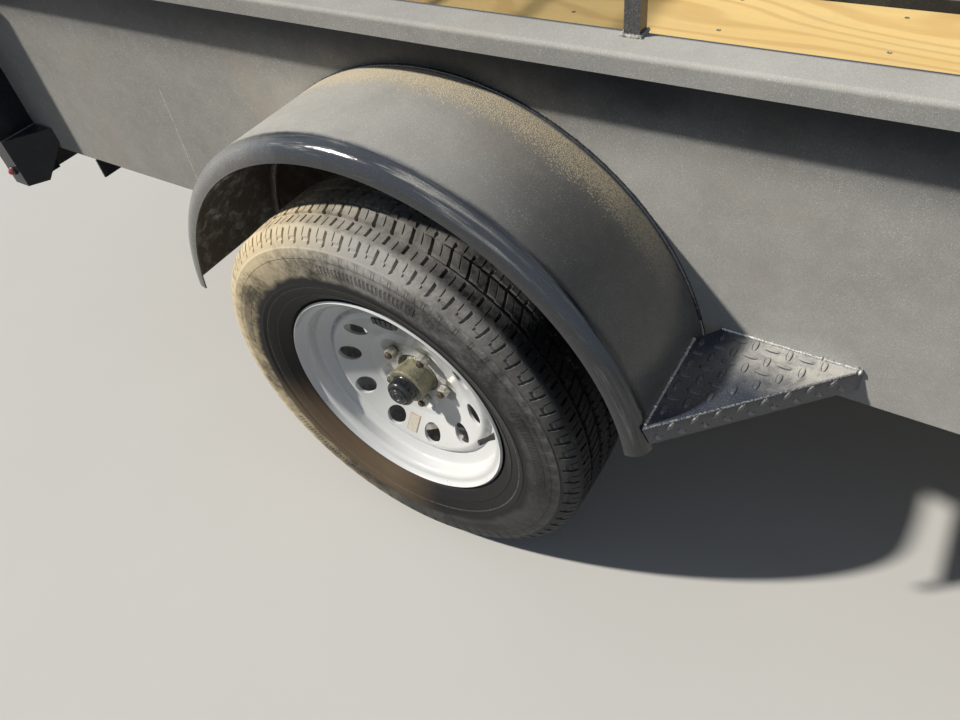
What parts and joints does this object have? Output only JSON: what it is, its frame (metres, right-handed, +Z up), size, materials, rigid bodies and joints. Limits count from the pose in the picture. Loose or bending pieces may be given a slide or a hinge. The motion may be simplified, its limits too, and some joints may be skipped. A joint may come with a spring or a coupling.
{
  "type": "single-axle utility trailer",
  "caption": "Single-axle open utility trailer with solid sheet sides, plywood deck, round fenders, mesh ramp gate, tongue jack and ball coupler.",
  "frame": {"origin": "on the ground, under the middle of the trailer's whole length and width", "axes": "+X forward to the coupler, +Y to the trailer's left, +Z up"},
  "size_m": [4.3024, 1.74, 1.681],
  "materials": {
    "charcoal_paint": "gloss charcoal enamel, dusty",
    "axle_black": "black paint with road dirt",
    "deck_wood": "bare pine plywood",
    "tyre_rubber": "dusty black rubber",
    "wheel_white": "white enamel",
    "hub_iron": "greasy dark iron",
    "zinc_steel": "zinc plated",
    "coupler_black": "black paint",
    "lamp_red": "red lens",
    "lamp_amber": "amber lens",
    "blank_plate": "plain white"
  },
  "bodies": {
    "trailer": {"axle": "axle_black", "axle_clamps": "zinc_steel", "coupler": "coupler_black", "coupler_latch": "zinc_steel", "crossmembers": "charcoal_paint", "deck_front": "deck_wood", "deck_rear": "deck_wood", "fender_left": "charcoal_paint", "fender_right": "charcoal_paint", "front_header": "charcoal_paint", "front_markers": "lamp_amber", "front_panel": "charcoal_paint", "gate_catches": "charcoal_paint", "jack_crank": "zinc_steel", "jack_tube": "zinc_steel", "lamp_guards": "charcoal_paint", "leaf_springs": "axle_black", "number_plate": "blank_plate", "rear_header": "charcoal_paint", "rear_markers": "lamp_red", "rear_posts": "charcoal_paint", "side_panel_left": "charcoal_paint", "side_panel_right": "charcoal_paint", "side_rail_left": "charcoal_paint", "side_rail_right": "charcoal_paint", "spring_hangers": "axle_black", "step_left": "charcoal_paint", "step_right": "charcoal_paint", "tail_lamps": "lamp_red", "tongue_beam_left": "charcoal_paint", "tongue_beam_right": "charcoal_paint", "upper_rail_front": "charcoal_paint", "upper_rail_left": "charcoal_paint", "upper_rail_right": "charcoal_paint"},
    "ramp_gate": {"gate_frame": "charcoal_paint", "gate_mesh": "charcoal_paint"},
    "jack_leg": {"jack_leg": "zinc_steel"},
    "wheel_right": {"tyre_right": "tyre_rubber", "wheel_rim_right": "wheel_white", "hub_right": "hub_iron", "hub_cap_right": "hub_iron", "lug_nuts_right": "zinc_steel"},
    "wheel_left": {"tyre_left": "tyre_rubber", "wheel_rim_left": "wheel_white", "hub_left": "hub_iron", "hub_cap_left": "hub_iron", "lug_nuts_left": "zinc_steel"}
  },
  "joints": [
    {"name": "wheel_right_spin", "type": "hinge", "parent": "trailer", "child": "wheel_right", "pos_m": [-0.85975, -0.7675, 0.344], "axis": [0, 1, 0], "continuous": true},
    {"name": "wheel_left_spin", "type": "hinge", "parent": "trailer", "child": "wheel_left", "pos_m": [-0.85975, 0.7675, 0.344], "axis": [0, 1, 0], "continuous": true},
    {"name": "ramp_gate_hinge", "type": "hinge", "parent": "trailer", "child": "ramp_gate", "pos_m": [-2.13525, 0, 0.446], "axis": [0, -1, 0], "range_deg": [0, 110]},
    {"name": "jack_slide", "type": "slide", "parent": "trailer", "child": "jack_leg", "axis": [0, 0, 1], "range_m": [0, 0.25]}
  ]
}
